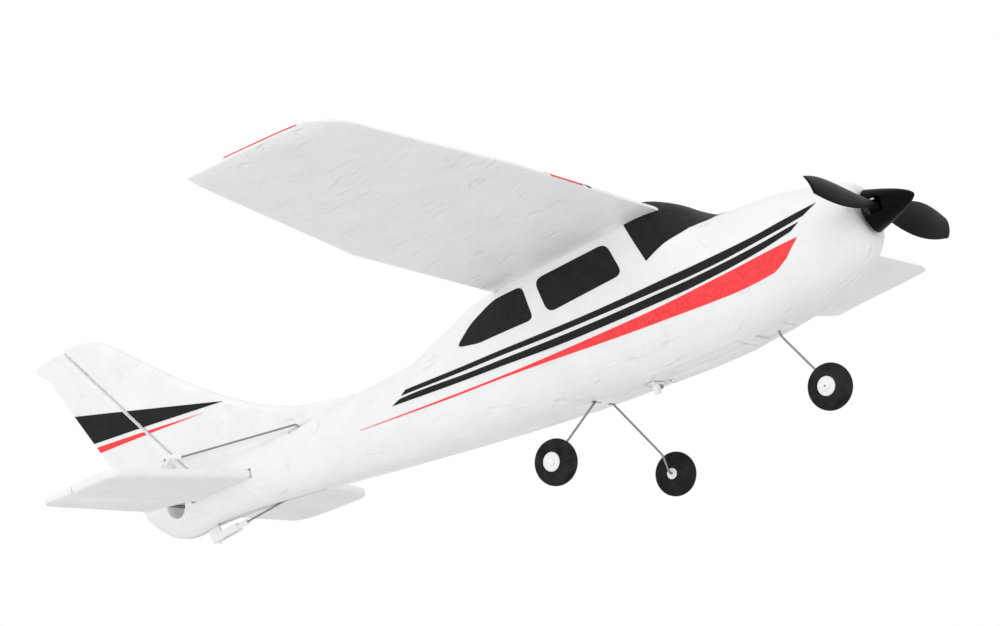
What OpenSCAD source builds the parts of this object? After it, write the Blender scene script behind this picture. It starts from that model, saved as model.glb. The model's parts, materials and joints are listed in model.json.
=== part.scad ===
// Small high-wing foam trainer aeroplane: two-piece hollow fuselage, one-piece wing, geared
// electric motor, three wire-and-wheel undercarriage legs, rudder and elevator on pushrods.
// Airframe coordinates inside air(): origin at the spinner tip on the thrust line,
// +X forward, +Y to port, +Z up. air() moves them to the part's own frame, which has its
// origin on the ground under the middle of the aeroplane's length.

/* [Airframe] */
// Wingspan, tip to tip
span = 500; // [440:10:520]
// Overall length, spinner tip to rudder tip
overall_l = 470; // [470:1:474]
// Height of the thrust line above the ground
thrust_h = 71.2; // [70:0.2:74]
// Thickness of the fuselage foam
foam_wall = 3.6; // [3:0.2:4.2]

/* [Wing] */
// Chord from the centre out to the kink
wing_chord = 85.5; // [84:0.5:92]
// Chord at the tip
tip_chord = 59.5; // [52:0.5:64]
// Distance of the trailing edge kink from the centreline
kink_y = 118; // [100:2:130]
// Greatest thickness at the root
wing_thick = 11.5; // [10:0.5:12.5]
// Rise of the wing at the kink
wing_rise = 6.2; // [5:0.2:8]
// Diameter of the spar tube
spar_d = 3; // [2:0.5:4]

/* [Tail] */
// Span of the horizontal stabiliser
stab_span = 186; // [170:2:200]
// Thickness of the stabiliser
stab_thick = 4.4; // [4:0.2:5]
// Thickness of the fin at the rudder hinge
fin_thick = 5.4; // [5:0.2:6]
// Sweep of the rudder hinge from the vertical
rudder_sweep = 37.3; // [37:0.1:38]

/* [Propeller and gearbox] */
// Propeller diameter
prop_d = 121; // [110:1:128]
// Gear module
gear_m = 0.4; // [0.38:0.01:0.4]
// Teeth on the propeller gear
spur_teeth = 48; // [40:4:48]
// Teeth on the motor pinion
pinion_teeth = 10; // [8:1:10]
// Diameter of the propeller shaft
shaft_d = 1.5; // [1.4:0.1:1.6]
// Diameter of the motor can
motor_d = 8.5; // [7:0.5:8.5]

/* [Undercarriage] */
// Wheel diameter
wheel_d = 19.6; // [18:0.2:20]
// Wheel width
wheel_w = 8.4; // [7:0.2:9]
// Distance between the two main wheels
track = 94.8; // [90:0.2:100]
// Diameter of the undercarriage wire
wire_d = 1; // [1:0.1:1.5]

/* [Hidden] */
$fn = 48;

nose_x = overall_l / 2;
foam = [0.95, 0.95, 0.95];
film_black = [0.08, 0.08, 0.09];
film_red = [0.86, 0.1, 0.12];
black = [0.05, 0.05, 0.05];
white = [0.93, 0.93, 0.92];
steel = [0.6, 0.61, 0.63];

// Fuselage sections: x, half width, bottom, widest height, top, lower and upper roundness
FUSELAGE = [
    [-21.3, 11.8, -11.5, -0.5, 10.8, 2.2, 2.2], [-22.6, 13.9, -14.8, -0.8, 12.8, 2.2, 2.2],
    [-26, 16.4, -18.2, -1.2, 14.8, 2.3, 2.2], [-34, 19.4, -21.8, -2, 17.0, 2.4, 2.2],
    [-46, 22.4, -26, -3, 19.4, 2.6, 2.2], [-60, 24.4, -29.5, -4, 21.4, 2.8, 2.2],
    [-82, 25.6, -32.2, -5, 22.6, 3.0, 2.2], [-94, 25.8, -33.2, -5, 28.8, 3.1, 1.95],
    [-103, 25.8, -33.5, -5, 35.2, 3.2, 2.8], [-112, 25.8, -33.6, -5, 38.8, 3.2, 4.2],
    [-116, 25.7, -33.6, -5, 39.2, 3.2, 4.8], [-150, 25.5, -33.2, -5, 35.4, 3.2, 5],
    [-180, 25.0, -32.2, -5, 31.5, 3.2, 5], [-192.5, 24.6, -31.6, -5, 28.6, 3.1, 4.6],
    [-205, 23.6, -30.9, -5, 28.0, 3.0, 3.4], [-220, 22.2, -29.8, -5, 23.6, 2.9, 2.9],
    [-236, 21.0, -28.6, -5, 18.4, 2.8, 2.6], [-245, 20.3, -27.8, -5, 15.4, 2.8, 2.5],
    [-280, 17.4, -24.8, -5, 13.0, 2.6, 2.3], [-320, 14.2, -21.2, -5, 11.0, 2.5, 2.2],
    [-350, 12.0, -19.0, -5, 9.4, 2.4, 2.2], [-375, 10.4, -18.4, -5, 8.4, 2.3, 2.2],
    [-392, 9.2, -19.8, -4.5, 7.8, 2.2, 2.2], [-402, 8.2, -17.8, -4, 7.4, 2.2, 2.2],
    [-410, 6.8, -12.6, -2, 6.9, 2.1, 2.2], [-416, 4.8, -6.8, 0, 6.2, 2, 2],
    [-419.6, 2.4, -1.4, 1.8, 4.8, 2, 2]];
cavity_front = -25;
cavity_back = -362;
// Fin leading edge, each as height and x
FIN_EDGE = [[3, -300], [10, -262], [14, -284], [17, -303], [20, -318], [24, -330], [30, -343.5],
    [40, -361], [55, -382.5], [70, -401.2], [82, -416], [88, -423.8], [91, -430], [92.6, -438]];
hinge_foot = [-399.5, 0, 21.8];
hinge_r = fin_thick / 2 - 0.1;
hinge_gap = 0.5;
rudder_low = 9.2;
rudder_high = 92.2;
elevator_axis = [-383, 0, -4.5];
elevator_r = stab_thick / 2 - 0.3;
stab_le_root = -345;
stab_le_tip = -356;
elevator_te = -402;
elevator_in = 15;
horn_pin = [-380.5, 0, -24];
rudder_pin = hinge_foot - 6.85 * [-sin(rudder_sweep), 0, cos(rudder_sweep)] - [0, 9.5, 0];

wing_le = -103.9;
wing_z = 30;
incidence = 3.7;
washout = 1.7;
nose_slim = 0.45;
tip_forward = 2.6;
tip_rake = 7;
spar_l = 180;
spar_at = [-130, 35.2];

spur_r = spur_teeth * gear_m / 2;
pinion_r = pinion_teeth * gear_m / 2;
gear_x = -30.5;
gear_w = 2.4;
motor_z = -(spur_r + pinion_r + 0.15);
motor_x = [-37, -57];
spinner_base = -19.6;
prop_x = -15.5;
blade_slot = 6.6;
blade_dip = 1;

wheel_r = wheel_d / 2;
axle_z = wheel_r - thrust_h;
main_x = -163.2;
nose_wheel_x = -58.1;
hub_r = 4.2;
core_r = 2.5;
run = 0.06;
belly_z = -33.6;

hatch_x = [-88, -131];
hatch_w = 20;
latch_at = [-135.5, 3.2, 0];
battery_w = 18.8;
servo_axis = [-203, 0, 7.5];
elevator_arm_r = 12;
rudder_arm_r = 9.5;
rod_r = 0.5;
tray_z = -14;

module air() translate([nose_x, 0, thrust_h]) children();

// Hands everything inside it over as one closed surface
module one_skin() resize([0, 0, 0]) children();

module along(p, q) {
    d = q - p;
    translate(p) rotate([0, acos(d[2] / norm(d)), atan2(d[1], d[0])]) children();
}

module rod(p, q, r, n = 24) along(p, q) cylinder(r = r, h = norm(q - p), $fn = n);

// Joins rings of equal length into one closed skin
module loft(rings) {
    n = len(rings[0]);
    m = len(rings);
    polyhedron(points = [for (r = rings) each r],
        faces = concat([[for (i = [n - 1 : -1 : 0]) i]], [[for (i = [0 : n - 1]) (m - 1) * n + i]],
            [for (k = [0 : m - 2], i = [0 : n - 1])
                each [[k * n + i, k * n + (i + 1) % n, (k + 1) * n + i],
                    [k * n + (i + 1) % n, (k + 1) * n + (i + 1) % n, (k + 1) * n + i]]]));
}

function power(v, e) = sign(v) * pow(abs(v), e);
function section(s, inset, n = 36) = [for (i = [0 : n - 1])
    let (a = 360 * i / n, e = 2 / (sin(a) >= 0 ? s[6] : s[5]),
        high = s[4] - s[3] - inset, low = s[3] - s[2] - inset)
    [s[0], (s[1] - inset) * power(cos(a), e), s[3] + (sin(a) >= 0 ? high : low) * power(sin(a), e)]];

module fuselage_skin(inset = 0)
    loft([for (s = FUSELAGE) if (inset <= 0 || (s[0] < cavity_front && s[0] > cavity_back))
        section(s, inset)]);

// A wire with a short bend at each inner point of its route; side is never along the wire
function unit(v) = v / norm(v);
function wire_ring(at, dir, side, r, n = 12) = let (u = unit(cross(dir, side)), v = cross(u, dir))
    [for (i = [0 : n - 1]) at + r * (cos(360 * i / n) * u + sin(360 * i / n) * v)];
module bent_wire(route, r, side) {
    last = len(route) - 1;
    legs = [for (i = [0 : last - 1]) unit(route[i + 1] - route[i])];
    loft(concat([wire_ring(route[0], legs[0], side, r)],
        [for (i = [1 : 1 : last - 1]) each [wire_ring(route[i] - r * legs[i - 1], legs[i - 1], side, r),
            wire_ring(route[i] + r * legs[i], legs[i], side, r)]],
        [wire_ring(route[last], legs[last - 1], side, r)]));
}

// Fin section at one height, from the leading edge back to the plane ahead of the hinge
function hinge_line(z) = hinge_foot[0] - (z - hinge_foot[2]) * tan(rudder_sweep);
function fin_ring(z, le, grow) =
    let (back = hinge_line(z) + (hinge_r + hinge_gap) / cos(rudder_sweep),
        t = fin_thick / 2 + grow, nose = min(7, (le - back) / 2))
    concat([for (i = [-4 : 4]) [le + grow - nose * (1 - cos(22 * i)), t * sin(22 * i) , z]],
        [[back, t, z], [back, -t, z]]);

module fin_skin(grow = 0) loft([for (i = [len(FIN_EDGE) - 1 : -1 : 0])
    fin_ring(FIN_EDGE[i][0], FIN_EDGE[i][1], grow)]);

function wing_section(y) =
    let (s = abs(y), half = span / 2, out = max(0, (s - kink_y) / (half - kink_y)),
        edge = max(0, (s - (half - 26)) / 26), round = sqrt(max(0.004, 1 - pow(edge, 2.6))),
        chord = (wing_chord - (wing_chord - tip_chord) * out),
        nose = wing_le + tip_forward * out - 12 * (1 - sqrt(max(0, 1 - pow(edge, 2)))),
        tail = wing_le + tip_forward * out - chord,
        t = (wing_thick - 1.5 * min(1, s / kink_y) - 4 * out) * (0.3 + 0.7 * round) / 2 * round)
    [nose, tail, t, wing_z + wing_rise * min(1, s / kink_y), edge];

function naca(u) = (0.2969 * sqrt(u) - 0.126 * u - 0.3516 * u * u + 0.2843 * pow(u, 3)
    - 0.1036 * pow(u, 4)) / 0.1 * (1 - nose_slim * exp(-u / 0.07));
function wing_ring(y, grow, n = 14) =
    let (w = wing_section(y), c = w[0] - w[1], twist = min(1, abs(y) / 200),
        slope = sin(incidence - washout * twist))
    [for (i = [0 : 2 * n - 1])
        let (up = i < n, k = up ? i : 2 * n - i, u = pow(k / n, 1.7), h = w[2] * naca(u) + 0.8 * u + grow)
        [w[0] - u * c, y - sign(y) * tip_rake * (1 - u) * w[4],
            w[3] - 2 * twist - u * c * slope + h * (up ? 1.7 : -0.3)]];

WING_Y = [0, 26, 72, 118, 160, 200, 224, 234, 241, 246, 249, 250];
module wing_skin(grow = 0)
    loft([for (i = [-len(WING_Y) + 1 : len(WING_Y) - 1])
        wing_ring(sign(i) * WING_Y[abs(i)] * span / 500, grow)]);

// The foam ahead of this plane is fuselage, and behind it the wing sits in the saddle
saddle_x = -113;
module ahead_of_saddle() translate([saddle_x, -60, -60]) cube([120, 120, 140]);
module behind_saddle() translate([saddle_x - 110, -60, -60]) cube([110, 120, 140]);

module wing() color(foam) air() one_skin() difference() {
    wing_skin();
    intersection() { fuselage_skin(-film_t - 0.06); ahead_of_saddle(); }
    rod([spar_at[0], -spar_l / 2 - 1, spar_at[1]], [spar_at[0], spar_l / 2 + 1, spar_at[1]], spar_d / 2 + 0.06, 32);
    translate([spar_at[0], 0, 20]) cylinder(r = 1.2, h = spar_at[1] - 20, $fn = 24);
}

module wing_spar() color(black) air()
    rod([spar_at[0], -spar_l / 2, spar_at[1]], [spar_at[0], spar_l / 2, spar_at[1]], spar_d / 2);

module stab_slot() translate([-390, -60, elevator_axis[2] - stab_thick / 2]) cube([50, 120, stab_thick]);

// Two foam rails inside the fuselage, which grip the battery
module battery_rails() for (m = [0, 1]) mirror([0, m, 0])
    translate([-130, battery_w / 2 + 0.02, -40]) cube([44, 2.6, 18]);

module fuselage_cuts() {
    difference() { fuselage_skin(foam_wall); battery_rails(); }
    intersection() { wing_skin(); behind_saddle(); }
    translate([-384, -14, elevator_axis[2] - stab_thick / 2]) cube([384 + stab_le_root + 0.6, 28, stab_thick]);
    translate([-394, 20, -4.4]) rotate([90, 0, 0]) cylinder(r = 6, h = 40, $fn = 32);
    translate([-398, -1, -34]) cube([34, 2, 37]);
    translate([-356, -1, -34]) cube([43, 2, 24]);
    translate([-378, -2.3, -34]) cube([30, 4.6, 17.2]);
    translate([-320.8, -10.7, 0]) cube([14.4, 2.4, 17]);
    translate([-30, 0, 0]) rotate([0, 90, 0]) cylinder(r = 6, h = 20, $fn = 32);
    translate([hatch_x[1] - 0.4, -hatch_w / 2 - 0.4, -40]) cube([hatch_x[0] - hatch_x[1] + 0.8, hatch_w + 0.8, 14]);
    translate([hatch_x[1] - 7.6, latch_at[1] - 8.6, -40]) cube([7.8, 12, 7.4]);
    translate([latch_at[0], latch_at[1], -36]) cylinder(r = 0.84, h = 36 + belly_z + 4.4, $fn = 24);
    translate([-82.2, -6.2, -40]) cube([14.2, 12.4, 10.32]);
    translate([-78.6, -0.1, -40]) cube([7.2, 6.2, 16]);
    translate([-171.2, -9.2, -40]) cube([17, 18.4, 8.62]);
    translate([-165.1, -6.1, -40]) cube([6.6, 12.2, 14]);
}

module fuselage_half(side) color(foam) air() one_skin() difference() {
    union() { fuselage_skin(); fin_skin(); }
    fuselage_cuts();
    translate([-460, side > 0 ? -60 : 0, -60]) cube([460, 60, 180]);
}
module fuselage_left() fuselage_half(1);
module fuselage_right() fuselage_half(-1);

// Outline of half the stabiliser and elevator, on the port side
module tail_outline(front, back) {
    h = stab_span / 2;
    polygon(concat([[front, -1], [back, -1], [back, h - 8]],
        [for (i = [0 : 6]) [back + 8 - 8 * cos(15 * i), h - 8 + 8 * sin(15 * i)]],
        [for (i = [0 : 6]) [stab_le_tip - 7 + 7 * sin(15 * i), h - 7 + 7 * cos(15 * i)]],
        [[front, 12]]));
}

module stab_slice(thick) translate([0, 0, elevator_axis[2] - thick / 2]) linear_extrude(thick) children();

module horizontal_stabilizer() color(foam) air() {
    back = elevator_axis[0] + elevator_r + hinge_gap;
    intersection() {
        stab_slice(stab_thick) for (m = [0, 1]) mirror([0, m, 0]) tail_outline(stab_le_root, elevator_te);
        union() {
            translate([back, -stab_span, -20]) cube([60, 2 * stab_span, 40]);
        }
    }
}

module elevator() color(foam) air() difference() {
    intersection() {
        stab_slice(stab_thick) for (m = [0, 1]) mirror([0, m, 0]) tail_outline(stab_le_root, elevator_te);
        translate(elevator_axis) rotate([90, 0, 0]) translate([0, 0, -stab_span]) linear_extrude(2 * stab_span)
            union() {
                circle(r = elevator_r, $fn = 40);
                polygon([[0, elevator_r], [-20, 0.8], [-20, -0.8], [0, -elevator_r]]);
            }
    }
    translate([-410, 0, -20]) linear_extrude(40) polygon([[0, -elevator_in - 8], [40, -elevator_in + 4],
        [40, elevator_in - 4], [0, elevator_in + 8]]);
    translate([-394, 26, elevator_axis[2]]) rotate([90, 0, 0]) cylinder(d = 1.5, h = 52, $fn = 24);
}

module elevator_joiner() color(steel) air()
    translate([-394, 26, elevator_axis[2]]) rotate([90, 0, 0]) cylinder(d = 1.5, h = 52, $fn = 24);

module at_rudder_hinge() translate(hinge_foot) rotate([0, -rudder_sweep, 0]) children();

module rudder_outline() polygon(concat(
    [[hinge_line(rudder_low) + 6, rudder_low], [hinge_line(rudder_high) + 6, rudder_high],
        [-460, 91.6], [-468.6, 90]], [for (i = [0 : 3]) [-468.6 - 1.4 * sin(30 * i), 88.6 + 1.4 * cos(30 * i)]],
    [[-465, 85.4], [-461.6, 81.8], [-433.6, 26.8], [-430, 18.5], [-425, rudder_low]]));

module rudder() color(foam) air() difference() {
    intersection() {
        rotate([90, 0, 0]) translate([0, 0, -10]) linear_extrude(20) rudder_outline();
        at_rudder_hinge() translate([0, 0, -40]) linear_extrude(160) union() {
            circle(r = hinge_r, $fn = 40);
            polygon([[0, hinge_r], [-32, 0.8], [-32, -0.8], [0, -hinge_r]]);
        }
    }
    translate([rudder_pin[0], 0, rudder_pin[2]]) rotate([0, -rudder_sweep, 0])
        translate([-6.1, -3.2, -0.52]) cube([9.2, 1.9, 1.04]);
}

// A thin skin that lies on the fuselage sides inside an outline drawn in side view
film_t = 0.25;
module side_film() one_skin() intersection() {
    difference() { fuselage_skin(-film_t); fuselage_skin(-0.02); }
    rotate([90, 0, 0]) translate([0, 0, -40]) linear_extrude(80) children();
    difference() {
        translate([-460, -60, -60]) cube([460, 120, 180]);
        intersection() { wing_skin(0.05); behind_saddle(); }
    }
}

module window_films() color(film_black) air() side_film() {
    polygon([[-84, 19.5], [-92, 18.4], [-102, 14.2], [-111, 9.8], [-118.6, 30.4], [-115.8, 50],
        [-113, 50], [-80, 22]]);
    offset(2.5, $fn = 16) polygon([[-124.5, 10.7], [-127.3, 22], [-164.8, 20], [-161.6, 7.6]]);
    offset(2, $fn = 16) polygon([[-171.8, 8], [-173.6, 19.8], [-188, 19.2], [-200, 15],
        [-207.8, 9.8], [-200, 8]]);
}

module side_stripes() color(film_black) air() side_film() {
    polygon([[-34, 6.9], [-49, 4.1], [-60, 2.3], [-80, 0.7], [-100, -0.2], [-150, -1.4], [-200, -0.7],
        [-246, 0.9], [-249, -0.9], [-200, -2.9], [-150, -4], [-100, -3.8], [-80, -2.9], [-60, -1],
        [-40, 2.4]]);
    polygon([[-42, 1.9], [-60, -1.5], [-80, -3.8], [-100, -5], [-150, -5.7], [-200, -4.6], [-249, -2],
        [-255, -3.6], [-249, -4.1], [-200, -7.2], [-150, -9.1], [-100, -8.6], [-80, -7.3], [-60, -4.8],
        [-46, -1.6]]);
}

module side_swooshes() color(film_red) air() side_film()
    polygon([[-44, -4.6], [-80, -8.5], [-120, -11], [-180, -11.8], [-230, -10], [-276, -7.6], [-230, -10.8],
        [-180, -13.2], [-120, -16.2], [-80, -17.2], [-58, -15.3], [-51, -11.6]]);

module on_wing() one_skin() intersection() {
    difference() {
        wing_skin(film_t / 1.7);
        wing_skin(0.02);
        translate([0, 0, -0.6]) wing_skin(0.2);
    }
    translate([0, 0, 31.5]) linear_extrude(20) for (m = [0, 1]) mirror([0, m]) children();
}
module wing_stripes() color(film_black) air() on_wing()
    polygon([[-180, 77], [-100, 67], [-100, 70], [-180, 80]]);
module wing_swooshes() color(film_red) air() on_wing() {
    polygon([[-180, 83], [-100, 73], [-100, 96], [-180, 99]]);
    polygon([[-140, 256], [-168, 256], [-168, 234], [-96, 208], [-96, 256]]);
}

module black_band() polygon([[-452, 59.7], [-359, 35.9], [-444, 42.7]]);
module red_band() polygon([[-446, 40.7], [-372, 34.5], [-446, 37.3]]);

module on_fin() one_skin() difference() {
    intersection() {
        fin_skin(film_t);
        rotate([90, 0, 0]) translate([0, 0, -10]) linear_extrude(20) children();
        translate([-470, -10, 20]) cube([120, 20, 60]);
    }
    fin_skin(0.02);
    at_rudder_hinge() translate([-60, -10, -60]) cube([60 + hinge_r + hinge_gap + 0.05, 20, 180]);
}

module on_rudder() intersection() {
    rotate([90, 0, 0]) translate([0, 0, -10]) linear_extrude(20) intersection() {
        rudder_outline();
        children();
    }
    at_rudder_hinge() translate([0, 0, -40]) linear_extrude(160) for (m = [-1, 1]) scale([1, m])
        polygon([[-3.5, 0.03 + hinge_r - 3.5 * (hinge_r - 0.8) / 32],
            [-3.5, 0.03 + film_t + hinge_r - 3.5 * (hinge_r - 0.8) / 32],
            [-31, 0.03 + film_t + 0.8 + (hinge_r - 0.8) / 32], [-31, 0.03 + 0.8 + (hinge_r - 0.8) / 32]]);
}

module fin_stripes() color(film_black) air() on_fin() black_band();
module fin_swooshes() color(film_red) air() on_fin() red_band();
module rudder_stripes() color(film_black) air() on_rudder() black_band();
module rudder_swooshes() color(film_red) air() on_rudder() red_band();

// Plastic former glued across the nose, which carries the gearbox
module firewall() color(white) air() one_skin() difference() {
    intersection() {
        fuselage_skin(foam_wall + 0.02);
        translate([-36, -30, -30]) cube([1.6, 60, 60]);
    }
    translate([-40, 0, 0]) rotate([0, 90, 0]) cylinder(r = 3.9, h = 10, $fn = 32);
    translate([-40, 0, motor_z]) rotate([0, 90, 0]) cylinder(r = 2.4, h = 10, $fn = 32);
    for (s = [-1, 1]) translate([-40, 9 * s, -5]) rotate([0, 90, 0]) cylinder(r = 0.86, h = 10, $fn = 24);
}

module x_tube(x1, x2, ro, ri) translate([min(x1, x2), 0, 0]) rotate([0, 90, 0]) difference() {
    cylinder(r = ro, h = abs(x2 - x1));
    translate([0, 0, -1]) cylinder(r = ri, h = abs(x2 - x1) + 2);
}

bush_r = shaft_d / 2 + 1;
module gearbox_frame() color(black) air() difference() {
    union() {
        translate([-37.6, -12, -8.5]) cube([1.6, 24, 7.5]);
        translate([-49, 0, 0]) rotate([0, 90, 0]) cylinder(r = 3.6, h = 16);
        translate([-50, 0, motor_z]) rotate([0, 90, 0]) cylinder(r = motor_d / 2 + 1.2, h = 14);
        translate([-49, -1.5, -8]) cube([12, 3, 7]);
    }
    translate([-60, 0, 0]) rotate([0, 90, 0]) cylinder(r = bush_r, h = 40);
    translate([-60, 0, motor_z]) rotate([0, 90, 0]) cylinder(r = motor_d / 2 + 0.02, h = 23);
    translate([-60, 0, motor_z]) rotate([0, 90, 0]) cylinder(r = 2.2, h = 40);
    for (s = [-1, 1]) translate([-40, 9 * s, -5]) rotate([0, 90, 0]) cylinder(r = 0.8, h = 10, $fn = 24);
}

module gearbox_screws() color(steel) air() for (s = [-1, 1]) translate([0, 9 * s, -5]) {
    translate([-39.8, 0, 0]) rotate([0, 90, 0]) cylinder(r = 0.8, h = 5.6, $fn = 24);
    translate([-38.9, 0, 0]) rotate([0, 90, 0]) cylinder(r = 1.6, h = 1.28, $fn = 24);
}

module shaft_bushings() color("goldenrod") air() {
    x_tube(-49, -46, bush_r, shaft_d / 2 + run / 2);
    x_tube(-36, -33, bush_r, shaft_d / 2 + run / 2);
}

module motor() color(steel) air() translate([motor_x[1], 0, motor_z]) rotate([0, 90, 0]) {
    cylinder(d = motor_d, h = motor_x[0] - motor_x[1]);
    translate([0, 0, -1.4]) cylinder(d = motor_d - 1, h = 1.4);
}

module gear(teeth, bore_r, wide) {
    pitch = teeth * gear_m / 2;
    step = 360 / teeth;
    difference() {
        linear_extrude(wide) polygon([for (i = [0 : teeth - 1])
            each [for (c = [[-0.26, -1.2], [-0.12, 0.85], [0.12, 0.85], [0.26, -1.2]])
                let (a = (i + c[0]) * step) (pitch + c[1] * gear_m) * [cos(a), sin(a)]]]);
        translate([0, 0, -1]) cylinder(r = bore_r, h = wide + 2);
    }
}

module spur_gear() color(white) air() translate([gear_x, 0, 0]) rotate([0, 90, 0]) difference() {
    union() {
        gear(spur_teeth, shaft_d / 2, gear_w);
        translate([0, 0, -0.8]) cylinder(r = 3, h = 0.8 + gear_w + 1.4);
    }
    translate([0, 0, -2]) cylinder(r = shaft_d / 2, h = 12);
    for (i = [0 : 4]) rotate([0, 0, 72 * i + 36]) translate([5.8, 0, -2]) cylinder(r = 1.5, h = 8);
}

module motor_pinion() color("gold") air() translate([gear_x - 0.4, 0, motor_z]) rotate([0, 90, 0]) {
    rotate([0, 0, 180 + 180 / pinion_teeth]) gear(pinion_teeth, 0.5, gear_w + 1.2);
    translate([0, 0, motor_x[0] - gear_x + 0.5]) cylinder(r = 0.5, h = gear_x - motor_x[0] + gear_w);
}

module prop_shaft() color(steel) air() translate([-50.5, 0, 0]) rotate([0, 90, 0])
    cylinder(d = shaft_d, h = 39);

function blade_ring(r) =
    let (R = prop_d / 2, u = r / R, chord = 4.4 + 10 * sin(158 * pow(u, 1.15)),
        pitch = atan(19 / r) * 0.8, t = 2.2 - 1.4 * u, n = 12)
    [for (i = [0 : n - 1])
        let (a = 360 * i / n, c = chord / 2 * cos(a), h = t / 2 * sin(a) + 0.09 * chord * (1 - pow(cos(a), 2)))
        [h * cos(pitch) - c * sin(pitch), -r - 0.15 * c * pow(u, 4), c * cos(pitch) + h * sin(pitch)]];

module propeller() color(black) air() translate([prop_x, 0, 0]) {
    one_skin() difference() {
        union() {
            for (m = [0, 180]) rotate([m - blade_dip, 0, 0])
                loft([for (r = [3, 8, 14, 21, 28, 35, 42, 49, 55, 59.5, 62]) blade_ring(r * prop_d / 124)]);
            rotate([0, 90, 0]) translate([0, 0, -3.6]) cylinder(r = 4.2, h = 6.6, $fn = 40);
        }
        rotate([0, 90, 0]) translate([0, 0, -10]) cylinder(d = shaft_d, h = 20, $fn = 40);
    }
}

module spinner() color(black) air() difference() {
    rotate([0, 90, 0]) {
        rotate_extrude() polygon(concat(
            [for (i = [0 : 10]) let (u = i / 10) [9.2 * pow(u, 0.62), spinner_base * u]],
            [for (i = [10 : -1 : 1]) let (u = i / 10)
                [8.1 * pow(u, 0.66) - 0.2, spinner_base * u - 1.6 * (1 - u)]],
            [[0, -2.4]]));
        translate([0, 0, prop_x]) difference() {
            cylinder(r = 5, h = 7.6);
            translate([0, 0, -1]) cylinder(r = 4.24, h = 9);
        }
    }
    translate([prop_x - 5, -12, -blade_slot / 2]) cube([8.8, 24, blade_slot]);
}

module prop_screw() color(steel) air() translate([-11.5, 0, 0]) rotate([0, 90, 0])
    cylinder(r = 1.7, h = 1.3, $fn = 24);

function hub_face(side) = side * (track / 2 + 3);

module tyre(at, side) color(black) air() translate(at) rotate([-90 * side, 0, 0]) rotate_extrude(convexity = 4)
    difference() {
        intersection() {
            translate([wheel_r - 4.6, 0]) scale([4.6, wheel_w / 2]) circle(r = 1, $fn = 60);
            translate([core_r, -wheel_w]) square([wheel_r, 2 * wheel_w]);
        }
        translate([0, wheel_w / 2 - 2.4]) square([hub_r, wheel_w]);
    }

module hub(at, side) color(white) air() translate(at) rotate([-90 * side, 0, 0]) difference() {
    union() {
        translate([0, 0, -wheel_w / 2 + 0.6]) cylinder(r = core_r - 0.02, h = wheel_w - 1.2);
        translate([0, 0, wheel_w / 2 - 2.4]) cylinder(r = hub_r - 0.02, h = 2);
    }
    translate([0, 0, -10]) cylinder(r = wire_d / 2 + run, h = 20);
}

left_axle = [main_x, track / 2, axle_z];
right_axle = [main_x, -track / 2, axle_z];
nose_axle = [nose_wheel_x, 0, axle_z];
module left_tyre() tyre(left_axle, 1);
module left_hub() hub(left_axle, 1);
module right_tyre() tyre(right_axle, -1);
module right_hub() hub(right_axle, -1);
module nose_tyre() tyre(nose_axle, -1);
module nose_hub() hub(nose_axle, -1);

module axle_caps() color(white) air() for (c = [[left_axle, 1], [right_axle, -1], [nose_axle, -1]])
    translate(c[0]) rotate([-90 * c[1], 0, 0]) translate([0, 0, wheel_w / 2 - 0.35]) difference() {
        cylinder(r = 1.7, h = 0.85);
        translate([0, 0, -1]) cylinder(d = wire_d, h = 2);
    }

// Wire leg with a true round axle at its end
module axle(at, side) translate(at) rotate([-90 * side, 0, 0]) translate([0, 0, -wheel_w / 2 - 0.6])
    cylinder(d = wire_d, h = wheel_w + 1);
leg_r = wire_d / 2 - 0.02;
leg_top = [-161.8, 4, belly_z + 3];
leg_bend = [main_x + 0.8, track / 2 - 8.6, -53.6];
leg_end = left_axle - [0, wheel_w / 2 + 1, 0];
function to_right(v) = [v[0], -v[1], v[2]];
module main_gear_wire() color(steel) air() one_skin() {
    bent_wire([right_axle, to_right(leg_end), to_right(leg_bend), to_right(leg_top), leg_top, leg_bend,
        leg_end, left_axle], leg_r, [1, 0, 0]);
    axle(left_axle, 1);
    axle(right_axle, -1);
}

nose_leg_top = [-75, 3, belly_z + 0.6];
module nose_gear_wire() color(steel) air() one_skin() {
    bent_wire([nose_axle, nose_axle + [0, wheel_w / 2 + 2, 0], [-65.4, wheel_w / 2 + 1, -50.6],
        nose_leg_top, nose_leg_top + [0, 0, 5]], leg_r, [1, 0, 0]);
    axle(nose_axle, -1);
}

module main_gear_mount() color(white) air() difference() {
    union() {
        translate([-171, -9, belly_z + 0.8]) cube([16.6, 18, 1.4]);
        translate([-165, -6, belly_z + 2.2]) cube([6.4, 12, 2.6]);
    }
    translate([leg_top[0], 10, leg_top[2]]) rotate([90, 0, 0]) cylinder(r = wire_d / 2 + 0.05, h = 20);
    for (s = [-1, 1]) translate([-162.8, s * 6.5 - 3.5, belly_z - 2]) cube([2, 7, 5.7]);
}

module nose_gear_mount() color(white) air() difference() {
    union() {
        translate([-82, -6, belly_z + 2.5]) cube([13.8, 12, 1.4]);
        translate([-78.5, 0, belly_z + 3.9]) cube([7, 6, 4.4]);
    }
    translate(nose_leg_top - [0, 0, 5]) cylinder(r = wire_d / 2 + 0.05, h = 20);
}

// Flat plate across the inside of the fuselage, behind the battery
module equipment_tray() color(white) air() one_skin() intersection() {
    fuselage_skin(foam_wall + 0.02);
    translate([-216, -30, tray_z]) cube([76, 60, 1.5]);
}

module receiver_board() color("seagreen") air() {
    translate([-172, -10, tray_z + 1.5]) cube([28, 18, 1.2]);
    for (c = [[-168, -6, 5], [-160, -7, 6], [-152, 0, 5], [-168, 2, 4]])
        translate([c[0], c[1], tray_z + 2.7]) cube([c[2], c[2], 1.1]);
}

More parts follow.
